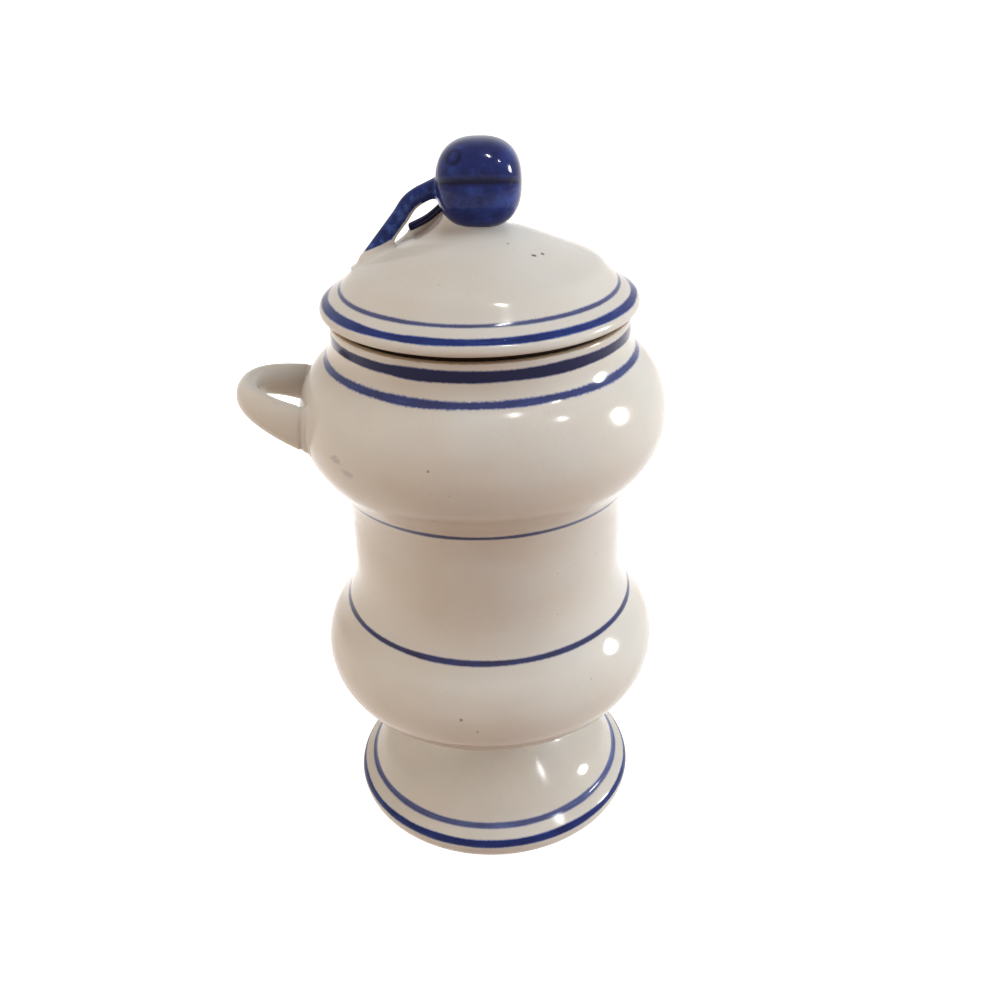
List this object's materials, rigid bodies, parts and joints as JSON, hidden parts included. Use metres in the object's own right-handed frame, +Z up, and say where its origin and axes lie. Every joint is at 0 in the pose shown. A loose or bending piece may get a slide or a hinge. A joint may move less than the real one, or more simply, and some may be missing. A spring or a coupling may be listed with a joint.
{
  "type": "canister jar",
  "caption": "Glazed earthenware canister jar with a double-bulb body on a spreading foot, a side loop handle and a domed lid whose knob is a fruit on its stem.",
  "frame": {"origin": "centre of the underside of the whole object's box, handle included, on the surface that the jar stands on", "axes": "+Z up along the jar's axis, -X towards the handle, -Y towards the picture's viewer"},
  "size_m": [0.1506, 0.13, 0.2577],
  "materials": {
    "cream_glaze": "glossy cream glaze over pale earthenware, with fine crazing, pinholes and specks",
    "cobalt_glaze": "cobalt blue brushed under a clear glossy glaze, uneven and mottled"
  },
  "bodies": {
    "jar": {"jar_body": "cream_glaze", "foot": "cream_glaze", "handle": "cream_glaze"},
    "lid": {"lid": "cream_glaze", "knob_collar": "cream_glaze", "knob_fruit": "cobalt_glaze", "stem": "cobalt_glaze", "tendril": "cobalt_glaze"}
  },
  "joints": [
    {"name": "lid_lift", "type": "slide", "parent": "jar", "child": "lid", "axis": [0, 0, 1], "range_m": [0, 0.12]}
  ]
}
